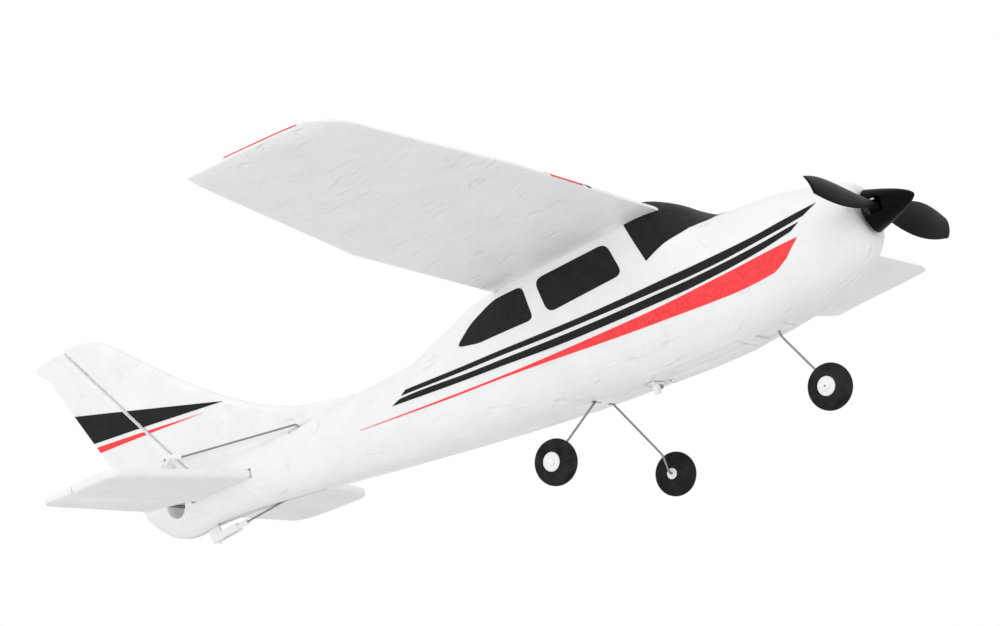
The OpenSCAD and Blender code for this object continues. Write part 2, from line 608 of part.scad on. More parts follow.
servo_w = 6.8;
module servo(y0) {
    translate([servo_axis[0] - 5, y0, tray_z + 1.5]) cube([20, servo_w, 25]);
    translate([servo_axis[0] - 7.5, y0 + 2, tray_z + 6]) cube([25, 1.6, 5]);
}
rudder_arm_y = -10.6;
elevator_arm_y = 1.2;
arm_t = 1.2;
spline_r = 1.2;
module output_shaft(y0, h, r) translate([servo_axis[0], y0, servo_axis[2]]) rotate([-90, 0, 0]) cylinder(r = r, h = h);
module rudder_servo() color("royalblue") air() {
    servo(-18.6);
    output_shaft(-11.8, 1.14, 2.4);
    output_shaft(-11.8, 2.2, spline_r);
}
module elevator_servo() color("royalblue") air() {
    servo(3.6);
    output_shaft(2.46, 1.14, 2.4);
    output_shaft(1.4, 2.2, spline_r);
}

// Servo arm hanging down from the output shaft, from y0 towards +Y
module servo_arm(y0, long) translate([servo_axis[0], y0, servo_axis[2]]) rotate([-90, 0, 0]) difference() {
    union() {
        cylinder(r = 2.8, h = arm_t);
        translate([-1.4, 0, 0]) cube([2.8, long, arm_t]);
        translate([0, long, 0]) cylinder(r = 1.9, h = arm_t);
    }
    translate([0, 0, -1]) cylinder(r = spline_r + run, h = 4);
    translate([0, long, -1]) cylinder(r = rod_r + run, h = 4);
}
module rudder_servo_arm() color(white) air() servo_arm(rudder_arm_y, rudder_arm_r);
module elevator_servo_arm() color(white) air() servo_arm(elevator_arm_y, elevator_arm_r);

rudder_rod_end = [-384, -9.5, 16.4];
rudder_arm_tip = [servo_axis[0], rudder_arm_y, servo_axis[2] - rudder_arm_r];
module crank_pin(at, long) translate(at) rotate([-90, 0, 0]) cylinder(r = rod_r, h = long, $fn = 24);
module rudder_pushrod() color(steel) air() one_skin() {
    crank_pin(rudder_arm_tip - [0, 0.6, 0], 3);
    bent_wire([rudder_arm_tip + [0, 1.6, 0], rudder_arm_tip + [0, 2.4, 0], [-311, -9.4, 1], [-315.5, -9.6, 9.2],
        rudder_rod_end], rod_r - 0.02, [0, 0, 1]);
}

elevator_arm_tip = [servo_axis[0], 0, servo_axis[2] - elevator_arm_r];
elevator_rod_dir = unit(horn_pin - elevator_arm_tip);
module elevator_pushrod() color(steel) air() one_skin() {
    crank_pin(elevator_arm_tip - [0, 0.4, 0], 3.3);
    bent_wire([elevator_arm_tip + [0, 0.8, 0], elevator_arm_tip, horn_pin - 19 * elevator_rod_dir],
        rod_r - 0.02, [0, 0, 1]);
}

// Fork with its pin, in its own frame: pin along +Z, body along +X, horn plate in the middle
module fork(long, gap, wide) {
    for (s = [-1, 1]) translate([0, 0, s * (gap / 2 + 0.45) - 0.45]) {
        cylinder(d = wide, h = 0.9, $fn = 32);
        translate([0, -wide / 2, 0]) cube([long, wide, 0.9]);
    }
    translate([0, 0, -gap / 2]) cylinder(r = 0.5, h = gap, $fn = 24);
    translate([long - 1.2, -wide / 2, -gap / 2 - 0.9]) cube([1.6, wide, gap + 1.8]);
}

module rudder_clevis() color(white) air() {
    translate(rudder_pin) rotate([0, -rudder_sweep, 0]) fork(4.4, 1.8, 3);
    difference() {
        rod(rudder_pin + 4.2 * [cos(rudder_sweep), 0, sin(rudder_sweep)], rudder_rod_end, 1.2);
        rod(rudder_rod_end - [1, 0, -0.1], rudder_rod_end + [1, 0, -0.1], rod_r + 0.02);
    }
}

module rudder_horn() color(white) air() translate([rudder_pin[0], 0, rudder_pin[2]])
    rotate([0, -rudder_sweep, 0]) difference() {
        union() {
            translate([-4, -10, -0.5]) linear_extrude(1) polygon([[3, -0.8], [5, -0.8], [4.4, 8.6], [-2, 8.6]]);
            translate([0, rudder_pin[1], -0.5]) cylinder(r = 1.9, h = 1, $fn = 32);
        }
        translate([0, rudder_pin[1], -2]) cylinder(r = 1.2, h = 4, $fn = 32);
    }

module elevator_clevis() color(white) air() translate(horn_pin)
    rotate([0, -atan2(elevator_rod_dir[2], elevator_rod_dir[0]) - 180, 0]) {
        rotate([90, 0, 0]) fork(13, 2, 3.4);
        translate([12, 0, 0]) rotate([0, 90, 0]) difference() {
            cylinder(r = 1.2, h = 7);
            translate([0, 0, 6.6]) cylinder(r = rod_r + 0.02, h = 2, $fn = 24);
        }
    }

module elevator_horn() color(white) air() translate([0, 0.55, 0]) rotate([90, 0, 0]) linear_extrude(1.1) difference() {
    polygon([[-396, -3], [-396, -6.6], [-387, -9], [-384.6, -22], [-383.2, -26], [-380, -27], [-377.6, -25.4],
        [-377.6, -22], [-382.2, -8.4], [-386, -3]]);
    translate([-394, elevator_axis[2]]) circle(d = 1.5, $fn = 24);
    translate([horn_pin[0], horn_pin[2]]) circle(r = 1.3, $fn = 24);
}

module battery() color("silver") air() {
    translate([-128, -battery_w / 2, belly_z + 4.8]) cube([41, battery_w, 7.6]);
    translate([-87, -7, belly_z + 6]) cube([2.6, 14, 5]);
}

module battery_lead() color("firebrick") air() for (s = [-1, 1])
    bent_wire([[-84.36, 3 * s, belly_z + 9], [-82, 3 * s, belly_z + 9], [-80, 3 * s, belly_z + 12], [-80, 3 * s, tray_z + 4],
        [-138, 2 + 1.6 * s, tray_z + 5], [-146, 1.6 * s, tray_z + 3.4]], 0.7, [0, 1, 0]);

module motor_lead() color("blue") air() for (s = [-1, 1])
    bent_wire([[motor_x[1] - 1.44, 2 * s, motor_z], [-61, 2 * s, motor_z], [-65, 2 * s, motor_z + 2], [-80, 5.4 + 1.2 * s, tray_z + 8],
        [-138, -5 + 1.2 * s, tray_z + 7], [-146, -6 + 1.2 * s, tray_z + 3.2]], 0.5, [0, 1, 0]);

module battery_hatch() color(foam) air() one_skin() difference() {
    intersection() {
        fuselage_skin();
        translate([hatch_x[1], -hatch_w / 2, -40]) cube([hatch_x[0] - hatch_x[1], hatch_w, 10]);
    }
    intersection() {
        translate([latch_at[0], latch_at[1], -40]) cylinder(r = 7.9, h = 7.9, $fn = 64);
        translate([hatch_x[1] - 1, latch_at[1] - 8, -40]) cube([9, 10.5, 9]);
    }
}

module hatch_latch() color(white) air() translate([latch_at[0], latch_at[1], 0]) {
    difference() {
        union() {
            translate([-1.5, -7.4, belly_z - 0.2]) cube([3, 7.4, 0.9]);
            translate([0, 0, belly_z - 0.2]) cylinder(r = 2.4, h = 0.9, $fn = 32);
        }
        translate([0, 0, belly_z - 1]) cylinder(r = 0.85, h = 4, $fn = 24);
    }
    translate([-1.2, -3.9, belly_z - 3.9]) cube([2.4, 2, 3.8]);
}

module hatch_latch_screw() color(steel) air() translate([latch_at[0], latch_at[1], 0]) {
    translate([0, 0, belly_z - 1.4]) cylinder(r = 1.5, h = 1.15, $fn = 24);
    translate([0, 0, belly_z - 0.8]) cylinder(r = 0.8, h = 5, $fn = 24);
}

fuselage_left();
fuselage_right();
wing();
wing_spar();
horizontal_stabilizer();
elevator();
elevator_joiner();
rudder();
window_films();
side_stripes();
side_swooshes();
wing_stripes();
wing_swooshes();
fin_stripes();
fin_swooshes();
rudder_stripes();
rudder_swooshes();
firewall();
gearbox_frame();
gearbox_screws();
shaft_bushings();
motor();
motor_pinion();
spur_gear();
prop_shaft();
propeller();
spinner();
prop_screw();
nose_gear_mount();
nose_gear_wire();
nose_tyre();
nose_hub();
main_gear_mount();
main_gear_wire();
left_tyre();
left_hub();
right_tyre();
right_hub();
axle_caps();
equipment_tray();
receiver_board();
rudder_servo();
elevator_servo();
rudder_servo_arm();
elevator_servo_arm();
rudder_pushrod();
rudder_clevis();
rudder_horn();
elevator_pushrod();
elevator_clevis();
elevator_horn();
battery();
battery_lead();
motor_lead();
battery_hatch();
hatch_latch();
hatch_latch_screw();
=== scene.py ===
import json
import math

import bmesh
import bpy
import numpy as np
from mathutils import Matrix, Vector


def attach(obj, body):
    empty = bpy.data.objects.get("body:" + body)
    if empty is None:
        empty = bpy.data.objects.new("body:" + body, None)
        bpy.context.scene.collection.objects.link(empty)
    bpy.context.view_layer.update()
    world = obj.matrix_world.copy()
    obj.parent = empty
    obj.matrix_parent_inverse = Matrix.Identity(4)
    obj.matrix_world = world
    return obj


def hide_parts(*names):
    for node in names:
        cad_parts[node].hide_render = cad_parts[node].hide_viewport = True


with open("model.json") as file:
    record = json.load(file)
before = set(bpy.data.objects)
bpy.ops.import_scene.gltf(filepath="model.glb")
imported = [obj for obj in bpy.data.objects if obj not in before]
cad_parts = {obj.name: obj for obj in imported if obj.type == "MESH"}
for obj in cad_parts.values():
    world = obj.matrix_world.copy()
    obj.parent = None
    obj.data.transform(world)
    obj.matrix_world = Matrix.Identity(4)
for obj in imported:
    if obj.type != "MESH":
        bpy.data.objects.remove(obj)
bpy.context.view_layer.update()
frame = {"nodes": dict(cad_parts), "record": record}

# Shapes are drawn in millimetres from the spinner's tip: x forward, y to port, z up.
MM = 0.001
NOSE = np.array([0.235, 0.0, 0.0712])  # the spinner's tip in the frame, in metres

FOAM_WALL = 3.6
FILM = 0.16  # thickness of the films on the fuselage and the tail
WING_FILM = 0.14
BELLY_Z = -33.6  # lowest point of the fuselage
WIRE_R = 0.48
FLOOR_Z = -0.55  # metres: below the camera, which looks up at the object


# ---------------------------------------------------------------- camera, light and floor
def look():
    camera = bpy.data.objects.new("camera", bpy.data.cameras.new("camera"))
    bpy.context.collection.objects.link(camera)
    right = Vector((0.7913, 0.5666, -0.2296))
    up = Vector((0.3411, -0.0975, 0.9350))
    back = right.cross(up).normalized()
    right = up.cross(back).normalized()
    up = back.cross(right)
    turn = Matrix((right, up, back)).transposed().to_4x4()
    camera.matrix_world = Matrix.Translation((0.6511, -0.9962, -0.2354)) @ turn
    camera.data.lens = 100.37
    camera.data.sensor_width = 36
    camera.data.clip_start = 0.01
    camera.data.clip_end = 60
    bpy.context.scene.camera = camera


def area_light(name, at, aim, size, power):
    light = bpy.data.objects.new(name, bpy.data.lights.new(name, "AREA"))
    bpy.context.collection.objects.link(light)
    light.data.energy = power
    light.data.size = size
    light.location = at
    light.rotation_euler = (Vector(aim) - Vector(at)).to_track_quat("-Z", "Y").to_euler()


def studio():
    """White behind the object, a slightly dimmer sky as light, three soft lamps and a floor."""
    world = bpy.data.worlds.new("studio")
    world.use_nodes = True
    tree = world.node_tree
    seen = tree.nodes["Background"]
    seen.inputs["Color"].default_value = (1, 1, 1, 1)
    seen.inputs["Strength"].default_value = 1.0
    sky = tree.nodes.new("ShaderNodeBackground")
    sky.inputs["Color"].default_value = (0.98, 0.99, 1, 1)
    sky.inputs["Strength"].default_value = 0.88
    path = tree.nodes.new("ShaderNodeLightPath")
    pick = tree.nodes.new("ShaderNodeMixShader")
    tree.links.new(path.outputs["Is Camera Ray"], pick.inputs["Fac"])
    tree.links.new(sky.outputs["Background"], pick.inputs[1])
    tree.links.new(seen.outputs["Background"], pick.inputs[2])
    tree.links.new(pick.outputs["Shader"], tree.nodes["World Output"].inputs["Surface"])
    bpy.context.scene.world = world
    bpy.context.scene.view_settings.view_transform = "Standard"
    area_light("key", (-0.3, -1.6, 1.7), (0, 0, 0.08), size=1.2, power=3)
    area_light("side", (0.3, -2.3, -0.1), (0, 0, 0.06), size=0.8, power=9)
    area_light("front", (1.6, -0.5, 0.9), (0.1, 0, 0.08), size=0.9, power=4)
    mesh = bpy.data.meshes.new("floor")
    corners = [(-5, -5), (5, -5), (5, 5), (-5, 5)]
    mesh.from_pydata([(x, y, FLOOR_Z) for x, y in corners], [], [(0, 1, 2, 3)])
    floor = bpy.data.objects.new("floor", mesh)
    bpy.context.collection.objects.link(floor)
    tree, shader = new_material("floor", (0.82, 0.82, 0.82), 0.85)
    mottle(tree, shader, (0.80, 0.80, 0.80), (0.84, 0.84, 0.84), 9.0)
    mesh.materials.append(FINISH["floor"])


# ---------------------------------------------------------------- materials
FINISH = {}  # slot name -> the scene's own material for it


def new_material(name, colour, rough):
    m = bpy.data.materials.new(name + "_finish")
    FINISH[name] = m
    m.use_nodes = True
    shader = m.node_tree.nodes["Principled BSDF"]
    shader.inputs["Base Color"].default_value = (*colour, 1)
    shader.inputs["Roughness"].default_value = rough
    return m.node_tree, shader


def object_place(tree):
    return tree.nodes.new("ShaderNodeTexCoord").outputs["Object"]


def noise(tree, scale, detail=3.0, rough=0.5):
    n = tree.nodes.new("ShaderNodeTexNoise")
    n.inputs["Scale"].default_value = scale
    n.inputs["Detail"].default_value = detail
    n.inputs["Roughness"].default_value = rough
    tree.links.new(object_place(tree), n.inputs["Vector"])
    return n.outputs["Fac"]


def ramp(tree, source, low, high, a=0.35, b=0.65):
    r = tree.nodes.new("ShaderNodeValToRGB")
    r.color_ramp.elements[0].position = a
    r.color_ramp.elements[0].color = low
    r.color_ramp.elements[1].position = b
    r.color_ramp.elements[1].color = high
    tree.links.new(source, r.inputs["Fac"])
    return r.outputs["Color"]


def mottle(tree, shader, low, high, scale, detail=4.0):
    shades = ramp(tree, noise(tree, scale, detail), (*low, 1), (*high, 1))
    tree.links.new(shades, shader.inputs["Base Color"])


def rough_range(tree, shader, low, high, scale):
    m = tree.nodes.new("ShaderNodeMapRange")
    m.inputs["To Min"].default_value = low
    m.inputs["To Max"].default_value = high
    tree.links.new(noise(tree, scale, 5.0), m.inputs["Value"])
    tree.links.new(m.outputs["Result"], shader.inputs["Roughness"])


def bump(tree, shader, source, strength, distance, under=None):
    b = tree.nodes.new("ShaderNodeBump")
    b.inputs["Strength"].default_value = strength
    b.inputs["Distance"].default_value = distance
    tree.links.new(source, b.inputs["Height"])
    if under is not None:
        tree.links.new(under, b.inputs["Normal"])
    tree.links.new(b.outputs["Normal"], shader.inputs["Normal"])
    return b.outputs["Normal"]


def beads(tree, size, low=0.0, high=0.14):
    """Outlines of the foam's moulded beads, a few millimetres across."""
    v = tree.nodes.new("ShaderNodeTexVoronoi")
    v.feature = "DISTANCE_TO_EDGE"
    v.inputs["Scale"].default_value = 1 / size
    v.inputs["Randomness"].default_value = 1.0
    tree.links.new(object_place(tree), v.inputs["Vector"])
    return ramp(tree, v.outputs["Distance"], (0, 0, 0, 1), (1, 1, 1, 1), low, high)


def dents(tree):
    """Scattered shallow creases, where the foam has been pressed."""
    stretch = tree.nodes.new("ShaderNodeMapping")
    stretch.inputs["Rotation"].default_value = (0, 0, 0.5)
    stretch.inputs["Scale"].default_value = (70, 190, 120)
    tree.links.new(object_place(tree), stretch.inputs["Vector"])
    n = tree.nodes.new("ShaderNodeTexNoise")
    n.inputs["Scale"].default_value = 1.0
    n.inputs["Detail"].default_value = 2.0
    tree.links.new(stretch.outputs["Vector"], n.inputs["Vector"])
    return ramp(tree, n.outputs["Fac"], (1, 1, 1, 1), (0, 0, 0, 1), 0.62, 0.72)


# Sockets of a colour Mix node
MIX_A, MIX_B, MIX_RESULT = 6, 7, 2


def mixed(tree, factor, a, b):
    m = tree.nodes.new("ShaderNodeMix")
    m.data_type = "RGBA"
    m.inputs[MIX_A].default_value = (*a, 1)
    m.inputs[MIX_B].default_value = (*b, 1)
    tree.links.new(factor, m.inputs["Factor"])
    return m.outputs[MIX_RESULT]


def multiplied(tree, base, marks, factor):
    """A base colour darkened a little by marks."""
    m = tree.nodes.new("ShaderNodeMix")
    m.data_type = "RGBA"
    m.blend_type = "MULTIPLY"
    m.inputs["Factor"].default_value = factor
    tree.links.new(base, m.inputs[MIX_A])
    tree.links.new(marks, m.inputs[MIX_B])
    return m.outputs[MIX_RESULT]


def foam_material():
    tree, shader = new_material("foam_white", (0.83, 0.835, 0.84), 0.5)
    cells = beads(tree, 0.0029)
    spots = ramp(tree, noise(tree, 60, 5, 0.6), (0, 0, 0, 1), (1, 1, 1, 1), 0.3, 0.7)
    base = mixed(tree, spots, (0.84, 0.841, 0.842), (0.895, 0.896, 0.897))
    tree.links.new(multiplied(tree, base, cells, 0.018), shader.inputs["Base Color"])
    rough_range(tree, shader, 0.42, 0.62, 140)
    first = bump(tree, shader, cells, 0.2, 0.00012)
    second = bump(tree, shader, dents(tree), 0.8, 0.0006, first)
    bump(tree, shader, noise(tree, 95, 4, 0.6), 0.6, 0.001, second)
    shader.inputs["Subsurface Weight"].default_value = 0.12
    shader.inputs["Subsurface Radius"].default_value = (1.0, 1.0, 1.0)
    shader.inputs["Subsurface Scale"].default_value = 0.0015


def film_material(name, low, high, rough):
    tree, shader = new_material(name, high, rough)
    shader.inputs["Specular IOR Level"].default_value = 0.08
    cells = beads(tree, 0.0036, 0.0, 0.1)
    soft = noise(tree, 170, 4, 0.6)
    tint = multiplied(tree, mixed(tree, soft, low, high), cells, 0.13)
    tree.links.new(tint, shader.inputs["Base Color"])
    rough_range(tree, shader, rough - 0.07, rough + 0.12, 220)
    first = bump(tree, shader, cells, 0.6, 0.0002)
    bump(tree, shader, soft, 0.6, 0.0008, first)


def plastic_material(name, low, high, rough, grain=1400, metal=0.0, scratch=0.25, gloss=0.5):
    tree, shader = new_material(name, high, rough)
    shader.inputs["Specular IOR Level"].default_value = gloss
    mottle(tree, shader, low, high, 45)
    rough_range(tree, shader, rough - 0.06, rough + 0.1, 90)
    shader.inputs["Metallic"].default_value = metal
    bump(tree, shader, noise(tree, grain, 4, 0.6), scratch, 0.00004)


def wire_material(name, low, high, rough):
    tree, shader = new_material(name, high, rough)
    shader.inputs["Metallic"].default_value = 1.0
    stretch = tree.nodes.new("ShaderNodeMapping")
    stretch.inputs["Scale"].default_value = (60, 2400, 2400)
    tree.links.new(object_place(tree), stretch.inputs["Vector"])
    n = tree.nodes.new("ShaderNodeTexNoise")
    n.inputs["Scale"].default_value = 1.0
    n.inputs["Detail"].default_value = 4.0
    tree.links.new(stretch.outputs["Vector"], n.inputs["Vector"])
    tree.links.new(mixed(tree, n.outputs["Fac"], low, high), shader.inputs["Base Color"])
    rough_range(tree, shader, rough - 0.08, rough + 0.12, 300)
    bump(tree, shader, n.outputs["Fac"], 0.3, 0.00003)


def tyre_material():
    tree, shader = new_material("tyre_black", (0.02, 0.02, 0.022), 0.75)
    shader.inputs["Specular IOR Level"].default_value = 0.05
    mottle(tree, shader, (0.013, 0.013, 0.014), (0.027, 0.027, 0.028), 160)
    rough_range(tree, shader, 0.62, 0.85, 260)
    bump(tree, shader, noise(tree, 2200, 5, 0.7), 0.45, 0.00008)


def all_materials():
    """One finish for each of the record's material slots."""
    foam_material()
    film_material("film_black", (0.012, 0.012, 0.013), (0.026, 0.026, 0.027), 0.45)
    film_material("film_red", (0.97, 0.055, 0.06), (1.0, 0.085, 0.09), 0.45)
    plastic_material("plastic_white", (0.86, 0.86, 0.85), (0.91, 0.91, 0.90), 0.35)
    plastic_material("plastic_black", (0.002, 0.002, 0.002), (0.005, 0.005, 0.0055), 0.36, gloss=0.055)
    plastic_material("carbon_tube", (0.015, 0.015, 0.017), (0.04, 0.04, 0.045), 0.3, grain=900, scratch=0.5)
    plastic_material("brass", (0.62, 0.43, 0.16), (0.78, 0.58, 0.27), 0.3, grain=1200, metal=1.0)
    plastic_material("motor_can", (0.52, 0.53, 0.55), (0.68, 0.69, 0.71), 0.24, grain=1500, metal=1.0)
    plastic_material("circuit_green", (0.01, 0.14, 0.05), (0.03, 0.26, 0.10), 0.35, grain=500, scratch=0.6)
    plastic_material("servo_blue", (0.02, 0.08, 0.34), (0.03, 0.13, 0.48), 0.25)
    plastic_material("battery_foil", (0.55, 0.56, 0.58), (0.74, 0.75, 0.77), 0.34,
                     grain=260, metal=0.8, scratch=0.9)
    plastic_material("lead_red", (0.42, 0.015, 0.015), (0.58, 0.03, 0.03), 0.5)
    plastic_material("lead_blue", (0.02, 0.06, 0.36), (0.04, 0.11, 0.5), 0.5)
    wire_material("wire_steel", (0.20, 0.20, 0.205), (0.42, 0.42, 0.43), 0.36)
    tyre_material()


# ---------------------------------------------------------------- mesh helpers
def place(points):
    return np.asarray(points, float).reshape(-1, 3) * MM + NOSE


def obj_from(name, points, faces):
    """A mesh object from airframe points in millimetres."""
    mesh = bpy.data.meshes.new(name)
    mesh.from_pydata(place(points).tolist(), [], faces)
    mesh.validate()
    obj = bpy.data.objects.new(name, mesh)
    bpy.context.collection.objects.link(obj)
    face_out(obj)
    return obj


def face_out(obj):
    """Turns every face of a closed skin outward."""
    bm = bmesh.new()
    bm.from_mesh(obj.data)
    bmesh.ops.recalc_face_normals(bm, faces=bm.faces)
    if bm.calc_volume(signed=True) < 0:
        bmesh.ops.reverse_faces(bm, faces=bm.faces)
    bm.to_mesh(obj.data)
    bm.free()


def loft(name, rings, closed=False):
    """Rings of equal length joined into one closed skin."""
    n, m = len(rings[0]), len(rings)
    faces = []
    for k in range(m if closed else m - 1):
        a, b = k * n, (k + 1) % m * n
        faces += [(a + i, a + (i + 1) % n, b + (i + 1) % n, b + i) for i in range(n)]
    if not closed:
        faces += [tuple(range(n - 1, -1, -1)), tuple((m - 1) * n + i for i in range(n))]
    return obj_from(name, np.concatenate([np.asarray(r, float) for r in rings]), faces)


def box(name, low, high):
    (a, b, c), (d, e, f) = low, high
    ring = [(a, b), (d, b), (d, e), (a, e)]
    return loft(name, [[(x, y, z) for x, y in ring] for z in (c, f)])


def slab(name, outline, low, high, axis):
    """An outline pushed along axis y or z, from low to high."""
    if axis == "y":
        return loft(name, [[(x, t, z) for x, z in outline] for t in (low, high)])
    return loft(name, [[(x, y, t) for x, y in outline] for t in (low, high)])


def basis(direction):
    d = np.asarray(direction, float) / np.linalg.norm(direction)
    side = np.array([1.0, 0, 0]) if abs(d[0]) < 0.9 else np.array([0, 1.0, 0])
    u = np.cross(d, side)
    u /= np.linalg.norm(u)
    return d, u, np.cross(d, u)


def turned(name, profile, at, direction, n=72):
    """A profile of (distance along the axis, radius) turned about an axis."""
    d, u, v = basis(direction)
    rings = []
    for i in range(n):
        a = 2 * math.pi * i / n
        out = math.cos(a) * u + math.sin(a) * v
        rings.append([np.asarray(at) + t * d + r * out for t, r in profile])
    return loft(name, rings, closed=True)


def post(name, p, q, r, n=40):
    """A round bar from p to q."""
    p, q = np.asarray(p, float), np.asarray(q, float)
    _, u, v = basis(q - p)
    turns = [2 * math.pi * i / n for i in range(n)]
    ring = [r * (math.cos(t) * u + math.sin(t) * v) for t in turns]
    return loft(name, [[p + o for o in ring], [q + o for o in ring]])


def rounded_route(route, radius, steps=7):
    """An open route with a smooth bend at each inner point."""
    route = [np.asarray(p, float) for p in route]
    out = [route[0]]
    for a, b, c in zip(route, route[1:], route[2:]):
        ba, bc = (a - b), (c - b)
        la, lc = np.linalg.norm(ba), np.linalg.norm(bc)
        cut = min(radius, 0.45 * la, 0.45 * lc)
        p, q = b + ba / la * cut, b + bc / lc * cut
        out += [(1 - t) ** 2 * p + 2 * t * (1 - t) * b + t * t * q for t in np.linspace(0, 1, steps)]
    return out + [route[-1]]


def wire(name, route, r, bend, n=18):
    """A round wire along a route, with its corners bent to a radius."""
    path = rounded_route(route, bend)
    rings = []
    side = None
    for i, p in enumerate(path):
        a = path[max(0, i - 1)]
        b = path[min(len(path) - 1, i + 1)]
        d = (b - a) / np.linalg.norm(b - a)
        if side is None:
            side = basis(d)[1]
        side = side - d * (side @ d)
        side /= np.linalg.norm(side)
        other = np.cross(d, side)
        turns = [2 * math.pi * k / n for k in range(n)]
        rings.append([p + r * (math.cos(t) * side + math.sin(t) * other) for t in turns])
    return loft(name, rings)


def settle(obj):
    """Keeps what the modifiers make, and drops them."""
    bpy.context.view_layer.update()
    seen = obj.evaluated_get(bpy.context.evaluated_depsgraph_get())
    old = obj.data
    mesh = bpy.data.meshes.new_from_object(seen)
    obj.modifiers.clear()
    obj.data = mesh
    mesh.name = obj.name
    bpy.data.meshes.remove(old)
    return obj


def combine(obj, tool, how="DIFFERENCE", keep=False, solver="MANIFOLD"):
    """Cuts, joins or trims a solid with a tool, which is dropped unless it is kept."""
    m = obj.modifiers.new("combine", "BOOLEAN")
    m.operation = how
    m.object = tool
    m.solver = solver
    settle(obj)
    if not keep:
        bpy.data.objects.remove(tool)
    return obj


def copy(obj, name):
    twin = bpy.data.objects.new(name, obj.data.copy())
    bpy.context.collection.objects.link(twin)
    return twin


def soften(obj, width, segments=3, angle=40):
    m = obj.modifiers.new("soften", "BEVEL")
    m.width = width * MM
    m.segments = segments
    m.limit_method = "ANGLE"
    m.angle_limit = math.radians(angle)
    return settle(obj)


def remesh(obj, voxel, rounds):
    """One even skin over the solid, with its inner corners smoothed."""
    m = obj.modifiers.new("remesh", "REMESH")
    m.mode = "VOXEL"
    m.voxel_size = voxel * MM
    s = obj.modifiers.new("smooth", "SMOOTH")
    s.factor = 0.5
    s.iterations = rounds
    return settle(obj)


def grown(obj, name, by):
    """The same skin moved out along its normals."""
    twin = copy(obj, name)
    m = twin.modifiers.new("grow", "DISPLACE")
    m.strength = by * MM
    m.mid_level = 0
    return settle(twin)


def join(name, pieces):
    """Several separate shells as one object."""
    verts, faces = [], []
    for p in pieces:
        start = len(verts)
        verts += [v.co[:] for v in p.data.vertices]
        faces += [tuple(start + i for i in f.vertices) for f in p.data.polygons]
        bpy.data.objects.remove(p)
    mesh = bpy.data.meshes.new(name)
    mesh.from_pydata(verts, [], faces)
    obj = bpy.data.objects.new(name, mesh)
    bpy.context.collection.objects.link(obj)
    return obj


def show(obj, slot, body, *nodes, angle=35):
    """A finished piece: its finish, its body and the CAD nodes it stands for."""
    obj.data.materials.clear()
    obj.data.materials.append(FINISH[slot])
    for p in obj.data.polygons:
        p.material_index = 0
    obj.data.shade_smooth()
    obj.data.set_sharp_from_angle(angle=math.radians(angle))
    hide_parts(*nodes)
    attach(obj, body)
    return obj


def smooth_table(xs, rows, at):
    """Monotone cubic through given rows, so that the skin flows between them."""
    xs = np.asarray(xs, float)
    ys = np.asarray(rows, float)
    h = np.diff(xs)[:, None]
    d = np.diff(ys, axis=0) / h
    m = np.zeros_like(ys)
    m[0], m[-1] = d[0], d[-1]
    for i in range(1, len(xs) - 1):
        w1, w2 = 2 * h[i] + h[i - 1], h[i] + 2 * h[i - 1]
        same = d[i - 1] * d[i] > 0
        with np.errstate(divide="ignore", invalid="ignore"):
            mean = (w1 + w2) / (w1 / d[i - 1] + w2 / d[i])
        m[i] = np.where(same, mean, 0)
    out = []
    for x in np.asarray(at, float):
        i = int(np.clip(np.searchsorted(xs, x) - 1, 0, len(xs) - 2))
        s = (x - xs[i]) / (xs[i + 1] - xs[i])
        step = xs[i + 1] - xs[i]
        out.append((2 * s**3 - 3 * s**2 + 1) * ys[i] + (s**3 - 2 * s**2 + s) * step * m[i]
                   + (3 * s**2 - 2 * s**3) * ys[i + 1] + (s**3 - s**2) * step * m[i + 1])
    return np.array(out)


# ---------------------------------------------------------------- fuselage and fin
# x, half width, bottom, widest height, top, lower and upper roundness
FUSELAGE = [
    [-21.3, 11.8, -11.5, -0.5, 10.8, 2.2, 2.2], [-22.6, 13.9, -14.8, -0.8, 12.8, 2.2, 2.2],
    [-26, 16.4, -18.2, -1.2, 14.8, 2.3, 2.2], [-34, 19.4, -21.8, -2, 17.0, 2.4, 2.2],
    [-46, 22.4, -26, -3, 19.4, 2.6, 2.2], [-60, 24.4, -29.5, -4, 21.4, 2.8, 2.2],
    [-82, 25.6, -32.2, -5, 22.6, 3.0, 2.2], [-94, 25.8, -33.2, -5, 28.8, 3.1, 1.95],
    [-103, 25.8, -33.5, -5, 35.2, 3.2, 2.8], [-112, 25.8, -33.6, -5, 38.8, 3.2, 4.2],
    [-116, 25.7, -33.6, -5, 39.2, 3.2, 4.8], [-150, 25.5, -33.2, -5, 35.4, 3.2, 5],
    [-180, 25.0, -32.2, -5, 31.5, 3.2, 5], [-192.5, 24.6, -31.6, -5, 28.6, 3.1, 4.6],
    [-205, 23.6, -30.9, -5, 28.0, 3.0, 3.4], [-220, 22.2, -29.8, -5, 23.6, 2.9, 2.9],
    [-236, 21.0, -28.6, -5, 18.4, 2.8, 2.6], [-245, 20.3, -27.8, -5, 15.4, 2.8, 2.5],
    [-280, 17.4, -24.8, -5, 13.0, 2.6, 2.3], [-320, 14.2, -21.2, -5, 11.0, 2.5, 2.2],
    [-350, 12.0, -19.0, -5, 9.4, 2.4, 2.2], [-375, 10.4, -18.4, -5, 8.4, 2.3, 2.2],
    [-392, 9.2, -19.8, -4.5, 7.8, 2.2, 2.2], [-402, 8.2, -17.8, -4, 7.4, 2.2, 2.2],
    [-410, 6.8, -12.6, -2, 6.9, 2.1, 2.2], [-416, 4.8, -6.8, 0, 6.2, 2, 2],
    [-419.6, 2.4, -1.4, 1.8, 4.8, 2, 2]]
# Leading edge of the fin: height, x
FIN_EDGE = [[3, -300], [10, -262], [14, -284], [17, -303], [20, -318], [24, -330], [30, -343.5],
            [40, -361], [55, -382.5], [70, -401.2], [82, -416], [88, -423.8], [91, -430], [92.6, -438]]
